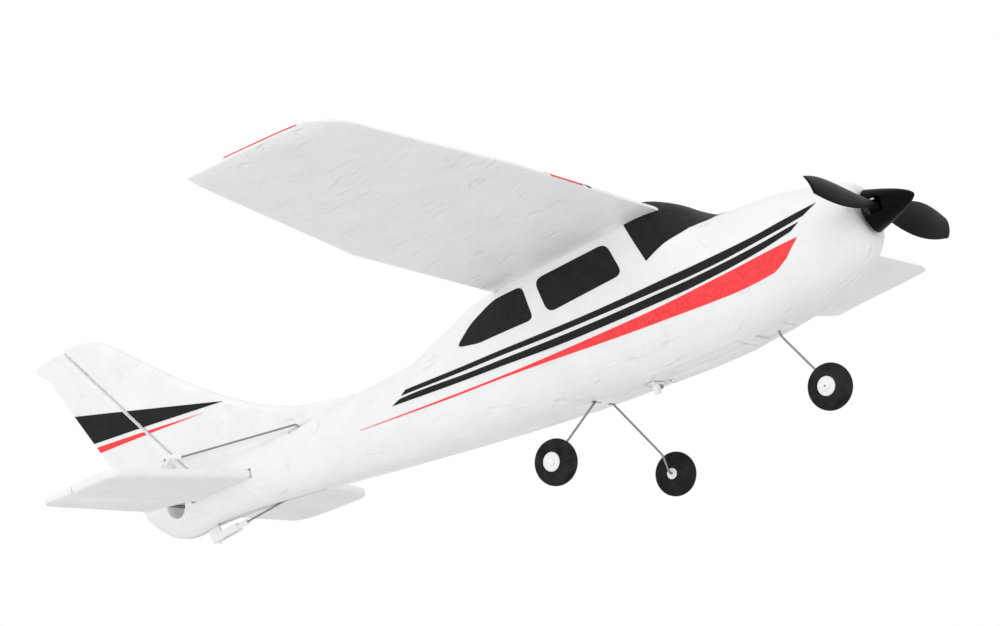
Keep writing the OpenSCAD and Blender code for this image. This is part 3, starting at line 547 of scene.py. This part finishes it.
# The rudder's hinge line: its foot, its lean backwards, the rudder's front edge and the gap around it
HINGE_FOOT = np.array([-399.5, 0, 21.8])
SWEEP = math.radians(37.3)
HINGE_R = 2.6
HINGE_GAP = 0.5
FIN_HALF = 2.7  # half the thickness of fin and rudder
FIN_TOP = 92.6


def power(v, e):
    """A power that keeps the sign."""
    return np.sign(v) * np.abs(v) ** e


def body_ring(row, inset=0.0, n=120):
    """One cross-section: an upper and a lower superellipse that meet at the widest height."""
    x, half, bottom, mid, top, low_n, up_n = row
    a = 2 * np.pi * np.arange(n) / n
    e = 2 / np.where(np.sin(a) >= 0, up_n, low_n)
    tall = np.where(np.sin(a) >= 0, top - mid - inset, mid - bottom - inset)
    across, upward = power(np.cos(a), e), power(np.sin(a), e)
    return np.stack([np.full(n, x), (half - inset) * across, mid + tall * upward], 1)


def body_skin(name, inset=0.0, front=-21.3, back=-419.6, n=120):
    xs = [r[0] for r in FUSELAGE][::-1]
    rows = [r[1:] for r in FUSELAGE][::-1]
    at = np.unique(np.concatenate([np.arange(front, back, -2.6), [front, -21.9, -22.6, -24, back]]))[::-1]
    at = at[(at <= front) & (at >= back)]
    table = smooth_table(xs, rows, at)
    return loft(name, [body_ring([x, *row], inset, n) for x, row in zip(at, table)])


def hinge_x(z):
    """Where the rudder's hinge line stands at a height."""
    return HINGE_FOOT[0] - (z - HINGE_FOOT[2]) * math.tan(SWEEP)


def fin_skin(name):
    zs = [p[0] for p in FIN_EDGE]
    at = np.unique(np.concatenate([np.linspace(zs[0], FIN_TOP, 90), zs]))
    edge = np.interp(at, zs, [p[1] for p in FIN_EDGE])
    rings = []
    for z, lead in zip(at, edge):
        back = hinge_x(z) + (HINGE_R + HINGE_GAP) / math.cos(SWEEP)
        nose = min(7.0, (lead - back) / 2)
        a = np.radians(np.linspace(-88, 88, 17))
        ring = [(lead - nose * (1 - math.cos(t)), FIN_HALF * math.sin(t), z) for t in a]
        rings.append(ring + [(back, FIN_HALF, z), (back, -FIN_HALF, z)])
    return loft(name, rings)


def at_hinge(points):
    """From the rudder hinge's own axes, with z along the hinge, to the airframe's."""
    c, s = math.cos(SWEEP), math.sin(SWEEP)
    p = np.asarray(points, float)
    return np.stack([c * p[:, 0] - s * p[:, 2], p[:, 1], s * p[:, 0] + c * p[:, 2]], 1) + HINGE_FOOT


# ---------------------------------------------------------------- wing's form
WING_LE = -103.9
HALF_SPAN = 250
ROOT_CHORD = 85.5
TAPER_FROM = 118  # distance from the middle where the taper starts
TIP_FROM = 224  # distance from the middle where the tip starts to round off
INCIDENCE = 3.7
WASHOUT = 1.7
WASHOUT_AT = 200  # distance from the middle where the washout is complete


def wing_section(y):
    """Front, back, half thickness, height and share of the rounded tip, at a distance from the middle."""
    s = abs(y)
    inner = min(1, s / TAPER_FROM)
    out = max(0.0, (s - TAPER_FROM) / (HALF_SPAN - TAPER_FROM))
    edge = max(0.0, (s - TIP_FROM) / (HALF_SPAN - TIP_FROM))
    rnd = math.sqrt(max(0.004, 1 - edge**2.6))
    chord = ROOT_CHORD - 26 * out
    front = WING_LE + 2.6 * out
    lead = front - 12 * (1 - math.sqrt(max(0.0, 1 - edge**2)))
    thick = (11.5 - 1.5 * inner - 4 * out) * (0.3 + 0.7 * rnd) / 2 * rnd
    return lead, front - chord, thick, 30 + 6.2 * inner, edge


def naca(u):
    """Thickness of a four-digit section along its chord, with a sharper nose."""
    fat = (0.2969 * np.sqrt(u) - 0.126 * u - 0.3516 * u**2 + 0.2843 * u**3 - 0.1036 * u**4) / 0.1
    return fat * (1 - 0.45 * np.exp(-u / 0.07))


def wing_ring(y, grow=0.0, n=40):
    """The wing's section at y, from the nose over the top to the tail and back underneath."""
    lead, tail, thick, z, edge = wing_section(y)
    k = np.arange(2 * n)
    up = k < n
    u = (np.where(up, k, 2 * n - k) / n) ** 1.7
    h = thick * naca(u) + 0.8 * u + grow
    chord = lead - tail
    twist = min(1, abs(y) / WASHOUT_AT)
    slope = math.sin(math.radians(INCIDENCE - WASHOUT * twist))
    upturn = max(0.0, (abs(y) - 240) / 10) ** 2
    z += 1.8 * upturn * (0.35 + 0.65 * (1 - u)) - 2 * twist
    return np.stack([lead - u * chord, y - math.copysign(1, y) * 7 * (1 - u) * edge if y else 0 * u,
                     z - u * chord * slope + h * np.where(up, 1.7, -0.3)], 1)


def wing_skin(name, grow=0.0):
    tip = TIP_FROM + (HALF_SPAN - TIP_FROM) * np.sin(np.linspace(0, math.pi / 2, 16))
    straight, tapered = np.linspace(0, TAPER_FROM, 24), np.linspace(TAPER_FROM, TIP_FROM, 22)
    half = np.concatenate([straight, tapered[1:], tip[1:]])
    ys = np.concatenate([-half[:0:-1], half])
    return loft(name, [wing_ring(y, grow) for y in ys])


def saddle():
    """The stretch of the fuselage that the wing sits in."""
    return box("saddle", (-223, -60, -60), (-113, 60, 80))


# ---------------------------------------------------------------- fuselage halves and films
# Pockets in the foam, from one corner to the other
POCKETS = [
    ((-384, -14, -6.7), (-344.4, 14, -2.3)),  # stabiliser
    ((-398, -1, -34), (-364, 1, 3)),  # elevator horn
    ((-378, -2.3, -34), (-348, 2.3, -16.8)),  # elevator clevis
    ((-356, -1, -34), (-313, 1, -10)),  # elevator pushrod
    ((-320.8, -10.7, 0), (-306.4, -8.3, 17)),  # rudder pushrod
    ((-131.4, -10.4, -40), (-87.6, 10.4, -26)),  # battery hatch
    ((-138.6, -6.6, -40), (-130.8, 5.4, -32.6)),  # hatch latch
    ((-82.2, -6.2, -40), (-68, 6.2, -29.68)),  # plate of the nose wire
    ((-78.6, -0.1, -40), (-71.4, 6.1, -24)),  # boss of the nose wire
    ((-171.2, -9.2, -40), (-154.2, 9.2, -31.38)),  # plate of the main wire
    ((-165.1, -6.1, -40), (-158.5, 6.1, -26)),  # boss of the main wire
]
JOINER_X = -394  # the wire that joins the elevator's halves runs across here
JOINER_Z = -4.4


def build_fuselage():
    """Fuselage and fin in one skin, with the seam and the raised lines of the mould on its belly."""
    outer = body_skin("outer")
    combine(outer, fin_skin("fin"), "UNION")
    remesh(outer, 0.9, 10)
    rows = [r for r in FUSELAGE if -392 < r[0] < -22]
    combine(outer, wire("seam", [(r[0], 0, r[2] + 0.1) for r in rows], 0.5, 6, 10), "UNION")
    for y in (-4.6, 4.6):
        ridge = [(r[0], y, belly(r, y) + 0.2) for r in rows if r[0] > -84]
        combine(outer, wire("ridge", ridge, 0.5, 6, 10), "UNION")
    for side in (-1, 1):
        frame_line = [(-134, 13.2), (-112, 13.2), (-94, 13.2), (-88, 12.6), (-85, 10.4)]
        points = [(x, y * side, belly(row_at(x), y) + 0.15) for x, y in frame_line]
        combine(outer, wire("frame", points, 0.45, 3, 10), "UNION")
        mould = [(-160, 22.6), (-140, 22.4), (-120, 22.2), (-113, 22.8), (-110.5, 23.8), (-110.5, 24.6)]
        points = [(x, y * side, belly(row_at(x), y) + 0.1) for x, y in mould]
        combine(outer, wire("mould", points, 0.4, 3, 10), "UNION")
    return outer


def row_at(x):
    """The cross-section's numbers at x, straight between the rows."""
    rows = sorted(FUSELAGE)
    return [x] + [float(np.interp(x, [r[0] for r in rows], [r[k] for r in rows])) for k in range(1, 7)]


def belly(row, y):
    """Height of the lower skin at a distance from the middle."""
    return row[3] - (row[3] - row[2]) * (1 - min(1, abs(y) / row[1]) ** row[5]) ** (1 / row[5])


def fuselage_pieces(outer):
    """The two hollow halves, with the wing's seat and every pocket cut out."""
    shell = copy(outer, "shell")
    cavity = body_skin("cavity", FOAM_WALL, -25.5, -352, 72)
    for side in (-1, 1):
        y0, y1 = sorted((9.42 * side, 12.02 * side))
        combine(cavity, box("rail", (-130, y0, -40), (-86, y1, -22)))
    combine(shell, cavity)
    seat = wing_skin("seat")
    combine(seat, saddle(), "INTERSECT")
    combine(shell, seat)
    for low, high in POCKETS:
        combine(shell, box("cut", low, high))
    combine(shell, post("cut", (JOINER_X, -20, JOINER_Z), (JOINER_X, 20, JOINER_Z), 6))
    combine(shell, post("cut", (-40, 0, 0), (-10, 0, 0), 6))
    for side, node in ((1, "fuselage_left"), (-1, "fuselage_right")):
        half = copy(shell, node + "_skin")
        y0, y1 = sorted((0.04 * side, 60 * side))
        combine(half, box("half", (-460, y0, -60), (0, y1, 180)), "INTERSECT")
        show(half, "foam_white", "airframe", node)
    bpy.data.objects.remove(shell)


def film(name, outer, outlines, slot, node, body="airframe", y=40, groove=None):
    """A film laid on a skin inside outlines drawn in side view."""
    parts = []
    for outline in outlines:
        for side in (-1, 1):
            y0, y1 = sorted((1.0 * side, y * side))
            sheet = grown(outer, "sheet", FILM)
            combine(sheet, slab("outline", outline, y0, y1, "y"), "INTERSECT")
            combine(sheet, outer, "DIFFERENCE", keep=True)
            if groove is not None:
                combine(sheet, groove, "DIFFERENCE", keep=True)
            parts.append(sheet)
    piece = join(name, parts)
    return show(piece, slot, body, node)


def rounded(points, radius, steps=6):
    """Outline with rounded corners."""
    pts = [np.asarray(p, float) for p in points]
    out = []
    for i, b in enumerate(pts):
        a, c = pts[i - 1], pts[(i + 1) % len(pts)]
        ba, bc = a - b, c - b
        cut = min(radius, 0.45 * np.linalg.norm(ba), 0.45 * np.linalg.norm(bc))
        p, q = b + ba / np.linalg.norm(ba) * cut, b + bc / np.linalg.norm(bc) * cut
        out += [tuple((1 - t) ** 2 * p + 2 * t * (1 - t) * b + t * t * q) for t in np.linspace(0, 1, steps)]
    return out


def flow(points, steps=8):
    """A smooth line through given points, left to right."""
    p = sorted(points)
    xs = [q[0] for q in p]
    at = np.unique(np.concatenate([np.linspace(a, b, steps) for a, b in zip(xs, xs[1:])]))
    z = smooth_table(xs, [[q[1]] for q in p], at)[:, 0]
    return list(zip(at.tolist(), z.tolist()))


def band(upper, lower):
    """Outline between two smooth lines."""
    return flow(upper) + flow(lower)[::-1]


def side_films(outer):
    """Windows, stripes and swooshes on both sides of the fuselage."""
    body = copy(outer, "body")
    seat = wing_skin("seat", 0.05)
    combine(seat, saddle(), "INTERSECT")
    combine(body, seat)
    windshield = [(-84, 19.5), (-92, 18.4), (-102, 14.2), (-111, 9.8), (-118.6, 30.4), (-115.8, 50),
                  (-113, 50), (-80, 22)]
    side = rounded([(-123.2, 8.8), (-128, 24.3), (-166.2, 22.1), (-162.8, 5.8)], 4.2)
    rear = rounded([(-170.6, 6), (-173, 21.9), (-189, 21.6), (-204, 15.8), (-213.4, 8.6), (-201, 6)], 3.2)
    film("window_film", body, [windshield, side, rear], "film_black", "window_films")
    upper = band([(-34, 6.9), (-49, 4.1), (-60, 2.3), (-80, 0.7), (-100, -0.2), (-150, -1.4), (-200, -0.7),
                  (-246, 0.9)],
                 [(-249, -0.9), (-200, -2.9), (-150, -4), (-100, -3.8), (-80, -2.9), (-60, -0.6), (-48, 1.3),
                  (-40, 3.0)])
    lower = band([(-42, 1.2), (-60, -2.0), (-80, -4.0), (-100, -5), (-150, -5.7), (-200, -4.6), (-249, -2),
                  (-255, -3.6)],
                 [(-254.6, -3.7), (-249, -4.1), (-200, -7.2), (-150, -9.1), (-100, -8.6), (-80, -7.3),
                  (-60, -4.8), (-46, -1.6)])
    film("side_stripe", body, [upper, lower], "film_black", "side_stripes")
    swoosh = band([(-276, -7.6), (-230, -10), (-180, -11.8), (-120, -11), (-80, -8.5), (-44, -4.6)],
                  [(-275.8, -7.8), (-230, -10.8), (-180, -13.2), (-120, -16.2), (-80, -17.2), (-58, -15.3),
                   (-51, -11.6)])
    film("side_swoosh", body, [swoosh], "film_red", "side_swooshes")
    bpy.data.objects.remove(body)


def tail_films(outer, rudder):
    """The films of fin and rudder, parted at the rudder's hinge."""
    black = [(-452, 59.7), (-359, 35.9), (-444, 42.7)]
    red = [(-446, 40.7), (-372, 34.5), (-446, 37.3)]
    ring = [(1.5, 9), (1.5, -9), (3.3, -9), (3.3, 9)]
    groove = loft("groove", [at_hinge([(x, y, t) for x, y in ring]) for t in (-40, 120)])
    for outline, slot, tag, kind in ((black, "film_black", "stripe", "stripes"),
                                     (red, "film_red", "swoosh", "swooshes")):
        film("fin_" + tag, outer, [outline], slot, "fin_" + kind, y=12, groove=groove)
        film("rudder_" + tag, rudder, [outline], slot, "rudder_" + kind, "rudder", y=12, groove=groove)
    bpy.data.objects.remove(groove)


def build_wing(outer):
    """The wing, cut back for the cabin and bored for its spar, and the films on its upper side."""
    wing = wing_skin("wing_skin")
    front = copy(outer, "front")
    combine(front, box("ahead", (-113, -60, -60), (20, 60, 80)), "INTERSECT")
    blank = copy(wing, "blank")
    combine(wing, front)
    combine(wing, post("bore", (-130, -91, 35.2), (-130, 91, 35.2), 1.56))
    show(wing, "foam_white", "airframe", "wing")
    stripes = [[(-180, 77), (-100, 67), (-100, 70), (-180, 80)]]
    swooshes = [[(-180, 83), (-100, 73), (-100, 96), (-180, 99)],
                [(-142, 256), (-147, 241), (-124, 236), (-114, 240), (-114, 256)]]
    for name, node, outlines, slot in (("wing_stripe", "wing_stripes", stripes, "film_black"),
                                       ("wing_swoosh", "wing_swooshes", swooshes, "film_red")):
        parts = []
        for outline in outlines:
            for side in (1, -1):
                sheet = grown(blank, "sheet", WING_FILM)
                ring = [(x, y * side) for x, y in outline]
                combine(sheet, slab("outline", ring, 30, 60, "z"), "INTERSECT")
                combine(sheet, blank, "DIFFERENCE", keep=True)
                low = grown(blank, "low", 0.5)
                low.data.transform(Matrix.Translation((0, 0, -0.0008)))
                combine(sheet, low)
                parts.append(sheet)
        show(join(name, parts), slot, "airframe", node)
    bpy.data.objects.remove(blank)


# ---------------------------------------------------------------- tail surfaces
# The elevator's hinge line, and the tip of the tailplane
AXIS_X, AXIS_Z = -383.0, -4.5
ELEVATOR_R = 1.9
TAIL_HALF_SPAN = 93


def tail_outline(side):
    """Half of the tailplane from above, with round corners at its tip."""
    h = TAIL_HALF_SPAN
    rear, front = 8, 7  # corner radii
    pts = [(-345, -1), (-402, -1), (-402, h - rear)]
    for t in [math.radians(15 * i) for i in range(1, 7)]:
        pts.append((-394 - rear * math.cos(t), h - rear + rear * math.sin(t)))
    for t in [math.radians(15 * i) for i in range(7)]:
        pts.append((-363 + front * math.sin(t), h - front + front * math.cos(t)))
    pts += [(-345, 12)]
    return [(x, y * side) for x, y in pts]


def tailplane():
    whole = None
    for side in (1, -1):
        half = slab("half", tail_outline(side), AXIS_Z - 2.2, AXIS_Z + 2.2, "z")
        soften(half, 1.7, 4, 50)
        whole = half if whole is None else combine(whole, half, "UNION")
    return whole


def build_tail():
    plane = tailplane()
    stab = copy(plane, "stabilizer_skin")
    back = AXIS_X + ELEVATOR_R + HINGE_GAP
    combine(stab, box("front", (back, -120, -20), (-330, 120, 20)), "INTERSECT")
    show(stab, "foam_white", "airframe", "horizontal_stabilizer")
    turns = [math.radians(a) for a in range(-90, 91, 15)]
    wedge = [(ELEVATOR_R * math.cos(t), ELEVATOR_R * math.sin(t)) for t in turns]
    wedge += [(-20, 0.9), (-20.4, 0), (-20, -0.9)]
    wedge = [(AXIS_X + x, AXIS_Z + z) for x, z in wedge]
    moving = slab("elevator_skin", wedge, -100, 100, "y")
    combine(moving, plane, "INTERSECT")
    notch = [(-410, -23), (-370, -11), (-370, 11), (-410, 23)]
    combine(moving, slab("notch", notch, -20, 20, "z"))
    combine(moving, post("bore", (JOINER_X, -26, AXIS_Z), (JOINER_X, 26, AXIS_Z), 0.78))
    show(moving, "foam_white", "elevator", "elevator")


def build_rudder():
    """The rudder's outline in side view, cut out of a wedge that is round along its hinge."""
    low, high = 9.2, 92.2
    outline = [(hinge_x(low) + 6, low), (hinge_x(high) + 6, high), (-460, 91.6), (-466.5, 90.6),
               (-469.2, 89.6), (-470, 88.4), (-469, 87.2), (-465, 84.6), (-461.6, 81.0), (-433.6, 26.8),
               (-430, 18.5), (-425, low)]
    blank = slab("blank", outline, -FIN_HALF, FIN_HALF, "y")
    soften(blank, 1.2, 3, 50)
    turns = [math.radians(a) for a in range(-90, 91, 10)]
    ring = [(HINGE_R * math.cos(t), HINGE_R * math.sin(t)) for t in turns]
    ring += [(-32, 1.0), (-32.6, 0), (-32, -1.0)]
    wedge = loft("rudder_skin", [at_hinge([(x, y, t) for x, y in ring]) for t in (-40, 120)])
    combine(wedge, blank, "INTERSECT")
    return wedge


# ---------------------------------------------------------------- propeller and wheels
PROP_X = -15.5
PROP_R = 60.5
SPINNER_L = 19.6
SPINNER_R = 9.2


def blade_ring(r, n=36):
    """The blade's section at a radius, cambered and turned to its pitch."""
    u = r / PROP_R
    chord = 4.4 + 10 * math.sin(math.radians(158 * u**1.15))
    pitch = 0.8 * math.atan(19 / r)
    thick = 2.2 - 1.4 * u
    a = 2 * np.pi * np.arange(n) / n
    c = chord / 2 * np.cos(a)
    h = thick / 2 * np.sin(a) + 0.09 * chord * (1 - np.cos(a) ** 2)
    return np.stack([h * math.cos(pitch) - c * math.sin(pitch), -r - 0.15 * c * u**4,
                     c * math.cos(pitch) + h * math.sin(pitch)], 1)


def build_propeller():
    hub = turned("propeller_skin", [(-3.6, 0.78), (-3.6, 3.9), (-3.3, 4.2), (2.7, 4.2), (3, 3.9), (3, 0.78)],
                 (PROP_X, 0, 0), (1, 0, 0), 64)
    for turn in (0, 180):
        a = math.radians(turn - 1)
        rot = np.array([[1, 0, 0], [0, math.cos(a), -math.sin(a)], [0, math.sin(a), math.cos(a)]])
        rings = [blade_ring(r) @ rot.T + (PROP_X, 0, 0) for r in np.linspace(3, PROP_R, 42)]
        blade = loft("blade", rings)
        soften(blade, 0.35, 2, 50)
        combine(blade, post("bore", (-30, 0, 0), (0, 0, 0), 0.9))
        combine(hub, blade, "UNION")
    show(hub, "plastic_black", "propeller", "propeller", angle=40)


def build_spinner():
    outer = [(-SPINNER_L * u, SPINNER_R * u**0.62) for u in np.linspace(0, 1, 30) ** 1.5]
    inner = [(-SPINNER_L * u - 1.6 * (1 - u), 8.1 * u**0.66 - 0.2) for u in np.linspace(1, 0.1, 16)]
    outer[0] = (0, 0.02)
    profile = outer + [(-SPINNER_L, 8.6)] + inner + [(-2.4, 0.02)]
    cone = turned("spinner_skin", profile, (0, 0, 0), (1, 0, 0), 96)
    rear, front = PROP_X - 5, PROP_X + 3.8
    opening = rounded([(rear, -3.3), (front, -3.3), (front, 3.3), (rear, 3.3)], 2.2)
    slot = slab("slot", opening, -12, 12, "y")
    combine(cone, slot, solver="EXACT")
    show(cone, "plastic_black", "propeller", "spinner")


# Wheel axles, as tag, place, side of the cap and body
AXLE_Z = -61.4
MAIN_X = -163.2
NOSE_X = -58.1
WHEELS = [
    ("left", (MAIN_X, 47.4, AXLE_Z), 1, "left_wheel"),
    ("right", (MAIN_X, -47.4, AXLE_Z), -1, "right_wheel"),
    ("nose", (NOSE_X, 0, AXLE_Z), -1, "nose_wheel"),
]


def build_wheel(tag, at, side, body):
    """A foam tyre on a stepped hub."""
    d = (0, side, 0)
    outline = [(math.sin(a) * 4.2, 5.2 + 4.6 * math.cos(a)) for a in np.radians(np.linspace(-120, 118, 64))]
    outline = [(t, max(r, 2.55)) for t, r in outline]
    profile = [(t, r) for t, r in outline if not (t > 1.75 and r < 4.25)]
    profile += [(2.6, 4.25), (1.8, 4.25), (1.8, 2.55)]
    tyre = turned(tag + "_tyre_skin", profile, at, d, 96)
    show(tyre, "tyre_black", body, tag + "_tyre")
    hub = [(-3.6, 0.56), (-3.6, 2.3), (-3.4, 2.48), (1.8, 2.48), (1.8, 4.0), (2.0, 4.18), (3.3, 4.18),
           (3.6, 4.0), (3.74, 3.6), (3.78, 2.9), (3.6, 2.75), (3.6, 2.45), (3.78, 2.3), (3.8, 0.56)]
    show(turned(tag + "_hub_skin", hub, at, d, 72), "plastic_white", body, tag + "_hub")


def build_gear():
    """Wheels, the caps on their axles, and the two bent wires."""
    for tag, at, side, body in WHEELS:
        build_wheel(tag, at, side, body)
    cap = [(3.85, 0.52), (3.85, 1.6), (3.95, 1.7), (4.3, 1.66), (4.55, 1.4), (4.7, 0.9), (4.7, 0.02),
           (4.62, 0.02), (4.62, 0.52)]
    caps = [turned("cap", cap, at, (0, side, 0), 48) for tag, at, side, body in WHEELS]
    show(join("axle_cap_skins", caps), "plastic_white", "airframe", "axle_caps")
    leg = [(-161.8, 4, BELLY_Z + 3), (-162.4, 38.8, -53.6), (MAIN_X, 42.2, AXLE_Z), (MAIN_X, 52, AXLE_Z)]
    route = [(x, -y, z) for x, y, z in leg[::-1]] + leg
    show(wire("main_wire_skin", route, WIRE_R, 1.8), "wire_steel", "airframe", "main_gear_wire")
    route = [(NOSE_X, -4.8, AXLE_Z), (NOSE_X, 6.2, AXLE_Z), (-65.4, 5.2, -50.6), (-75, 3, BELLY_Z + 0.6),
             (-75, 3, BELLY_Z + 5.6)]
    show(wire("nose_wire_skin", route, WIRE_R, 1.6), "wire_steel", "airframe", "nose_gear_wire")


def build_hatch(outer):
    """The battery hatch, cut from the fuselage's own skin, with a step for the latch."""
    hatch = copy(outer, "hatch_skin")
    combine(hatch, box("lid", (-131, -10, -40), (-88, 10, -30)), "INTERSECT")
    catch = post("catch", (-135.5, 3.2, -40), (-135.5, 3.2, -32.1), 7.9, 64)
    combine(catch, box("part", (-132, -4.8, -41), (-123, 5.7, -31)), "INTERSECT")
    combine(hatch, catch)
    soften(hatch, 0.35, 2, 50)
    show(hatch, "foam_white", "hatch", "battery_hatch")


def dress_cad():
    """Every CAD node still showing gets the finish of its material slot."""
    slots = {s["node"]: s["material_slot"] for s in frame["record"]["subparts"]}
    for name, node in frame["nodes"].items():
        obj = node if isinstance(node, bpy.types.Object) else bpy.data.objects[name]
        if obj.hide_render:
            continue
        material = FINISH[slots[name]]
        if not obj.material_slots:
            obj.data.materials.append(material)
        for s in obj.material_slots:
            s.material = material


look()
all_materials()
studio()
outer = build_fuselage()
fuselage_pieces(outer)
side_films(outer)
build_wing(outer)
build_hatch(outer)
rudder = build_rudder()
tail_films(outer, rudder)
show(rudder, "foam_white", "rudder", "rudder")
bpy.data.objects.remove(outer)
build_tail()
build_propeller()
build_spinner()
build_gear()
dress_cad()
